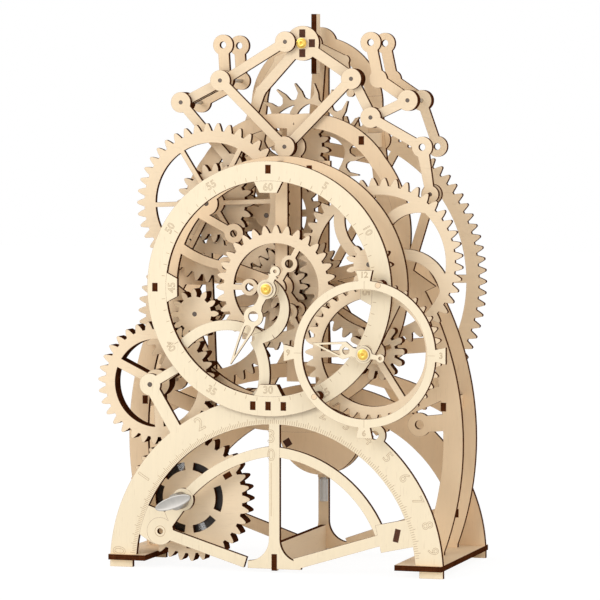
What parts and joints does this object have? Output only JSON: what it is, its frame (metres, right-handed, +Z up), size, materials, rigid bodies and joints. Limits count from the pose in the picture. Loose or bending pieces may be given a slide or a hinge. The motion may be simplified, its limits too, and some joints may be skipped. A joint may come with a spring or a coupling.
{
  "type": "wooden clock puzzle",
  "caption": "Free-standing skeleton pendulum clock of laser-cut plywood, with an offset hour dial, a spring barrel, an open gear train and a pinned crown above a round-arched base.",
  "frame": {"origin": "middle of the overall width and depth, at the level of the table under the feet", "axes": "+Z up, -Y towards the viewer in front of the dials, +X to the viewer's right"},
  "size_m": [0.2032, 0.1268, 0.302],
  "materials": {
    "birch_sheet": "matt raw birch plywood",
    "birch_scale": "matt raw birch plywood with engraved scale",
    "birch_gear": "matt raw birch plywood",
    "steel": "bright steel",
    "brass": "polished brass"
  },
  "bodies": {
    "stand": {"minute_dial": "birch_scale", "hour_dial": "birch_scale", "dial_posts": "birch_sheet", "front_arch": "birch_scale", "front_bridge": "birch_sheet", "front_plate": "birch_sheet", "middle_plate": "birch_sheet", "rear_plate": "birch_sheet", "rear_arch": "birch_sheet", "base_rails": "birch_sheet", "plate_spacers": "birch_sheet", "top_bracket": "birch_sheet", "wing_rod": "birch_sheet", "wing_struts": "birch_sheet", "wing_links": "birch_sheet", "crest_plates": "birch_sheet", "wing_pins": "steel"},
    "winder": {"winding_key": "steel", "winding_arbor": "steel"},
    "barrel_body": {"barrel_wheel": "birch_gear", "barrel_drum": "birch_gear", "mainspring": "steel"},
    "great_body": {"great_arbor": "steel", "great_wheel": "birch_gear"},
    "second_body": {"second_arbor": "steel", "second_pinion": "birch_gear", "second_wheel": "birch_gear"},
    "third_body": {"third_arbor": "steel", "third_pinion": "birch_gear", "third_wheel": "birch_gear"},
    "centre_body": {"centre_arbor": "steel", "centre_gear": "birch_gear", "motion_pinion": "birch_gear", "drive_pinion": "birch_gear", "train_wheel": "birch_gear", "rear_wheel": "birch_gear", "minute_hand": "birch_gear", "minute_cap": "brass"},
    "motion_body": {"motion_arbor": "steel", "motion_wheel": "birch_gear", "front_pinion": "birch_gear"},
    "hour_body": {"hour_arbor": "steel", "hour_wheel": "birch_gear", "finger_wheel": "birch_gear", "hour_hand": "birch_gear", "hour_cap": "brass"},
    "fourth_body": {"fourth_arbor": "steel", "fourth_pinion": "birch_gear", "fourth_wheel": "birch_gear"},
    "escape_body": {"escape_arbor": "steel", "escape_pinion": "birch_gear", "escape_wheel": "birch_gear"},
    "pendulum_body": {"pendulum_arbor": "steel", "anchor": "birch_gear", "pendulum_crossbar": "birch_gear", "pendulum_rod": "birch_gear", "pendulum_bob": "birch_gear", "rating_weight": "steel"}
  },
  "joints": [
    {"name": "minute_turn", "type": "hinge", "parent": "stand", "child": "centre_body", "pos_m": [0.00052, 0.00038, 0.1533], "axis": [0, -1, 0], "continuous": true},
    {"name": "winder_turn", "type": "hinge", "parent": "stand", "child": "winder", "pos_m": [-0.0491, 0.00038, 0.03784], "axis": [0, -1, 0], "continuous": true},
    {"name": "barrel_turn", "type": "hinge", "parent": "stand", "child": "barrel_body", "pos_m": [-0.0491, 0.00038, 0.03784], "axis": [0, -1, 0], "continuous": true},
    {"name": "great_turn", "type": "hinge", "parent": "stand", "child": "great_body", "pos_m": [-0.06778, 0.00038, 0.1001], "axis": [0, -1, 0], "continuous": true},
    {"name": "second_turn", "type": "hinge", "parent": "stand", "child": "second_body", "pos_m": [-0.04578, 0.00038, 0.13821], "axis": [0, -1, 0], "continuous": true},
    {"name": "third_turn", "type": "hinge", "parent": "stand", "child": "third_body", "pos_m": [-0.04234, 0.00038, 0.19811], "axis": [0, -1, 0], "continuous": true},
    {"name": "motion_turn", "type": "hinge", "parent": "stand", "child": "motion_body", "pos_m": [0.05485, 0.00038, 0.16686], "axis": [0, -1, 0], "continuous": true},
    {"name": "hour_turn", "type": "hinge", "parent": "stand", "child": "hour_body", "pos_m": [0.05698, 0.00038, 0.11991], "axis": [0, -1, 0], "continuous": true},
    {"name": "fourth_turn", "type": "hinge", "parent": "stand", "child": "fourth_body", "pos_m": [-0.01524, 0.00038, 0.19115], "axis": [0, -1, 0], "continuous": true},
    {"name": "escape_turn", "type": "hinge", "parent": "stand", "child": "escape_body", "pos_m": [0.00052, 0.00038, 0.229], "axis": [0, -1, 0], "continuous": true},
    {"name": "pendulum_swing", "type": "hinge", "parent": "stand", "child": "pendulum_body", "pos_m": [0.00452, 0.00038, 0.2855], "axis": [0, -1, 0], "range_deg": [-2.5, 2.5]}
  ],
  "couplings": [
    {"joint": "third_turn", "follows": "minute_turn", "ratio": -0.47619},
    {"joint": "second_turn", "follows": "minute_turn", "ratio": 0.2381},
    {"joint": "great_turn", "follows": "minute_turn", "ratio": -0.089286},
    {"joint": "barrel_turn", "follows": "minute_turn", "ratio": 0.08658},
    {"joint": "motion_turn", "follows": "minute_turn", "ratio": -0.27273},
    {"joint": "hour_turn", "follows": "minute_turn", "ratio": 0.083333},
    {"joint": "fourth_turn", "follows": "minute_turn", "ratio": -1.7333},
    {"joint": "escape_turn", "follows": "minute_turn", "ratio": 3.0044}
  ]
}
